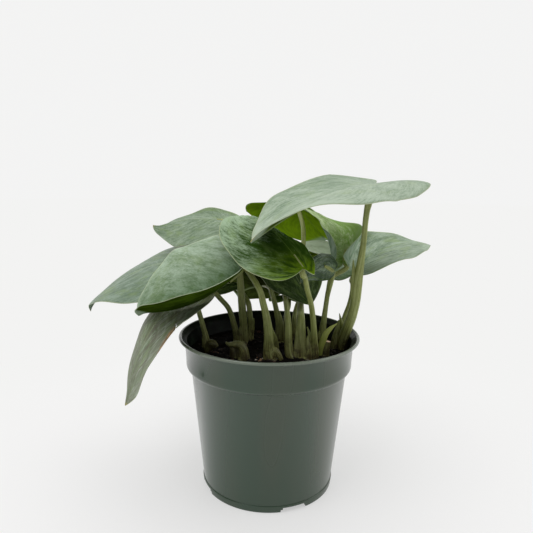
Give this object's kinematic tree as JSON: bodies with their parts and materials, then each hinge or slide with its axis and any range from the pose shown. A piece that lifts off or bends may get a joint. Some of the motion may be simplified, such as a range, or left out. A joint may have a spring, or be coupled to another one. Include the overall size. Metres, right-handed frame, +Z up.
{
  "type": "potted platinum java scindapsus",
  "caption": "Small aroid house plant with broad heart-shaped silvery leaves on fleshy stalks, growing in soil in a round tapered nursery pot.",
  "frame": {"origin": "middle of the pot's flat underside, on the surface it stands on", "axes": "+Z up, +X to the viewer's right along the widest spread of the leaves, -Y towards the viewer"},
  "size_m": [0.2365, 0.1993, 0.1873],
  "materials": {
    "pot_plastic": "glossy moulded plastic",
    "soil_mix": "rough damp potting mix",
    "leaf": "satin leaf with a silver sheen",
    "stalk": "smooth fleshy satin stalk"
  },
  "bodies": {
    "root": {"pot": "pot_plastic", "soil": "soil_mix", "stem_left": "stalk", "stem_stub": "stalk", "stem_left_back": "stalk", "stem_front": "stalk", "stem_back": "stalk", "stem_front_right": "stalk", "stem_mid_right": "stalk", "cut_stub": "stalk", "stem_right": "stalk", "leaf_top": "leaf", "leaf_front": "leaf", "leaf_left_near": "leaf", "leaf_left_far": "leaf", "leaf_back_left": "leaf", "leaf_hanging": "leaf", "leaf_right": "leaf", "leaf_back": "leaf", "leaf_inner_front": "leaf", "leaf_inner_low": "leaf", "leaf_small": "leaf", "leaf_inner_back": "leaf", "leaf_curled": "leaf", "leaf_low_left": "leaf", "leaf_low_back": "leaf"}
  },
  "joints": []
}
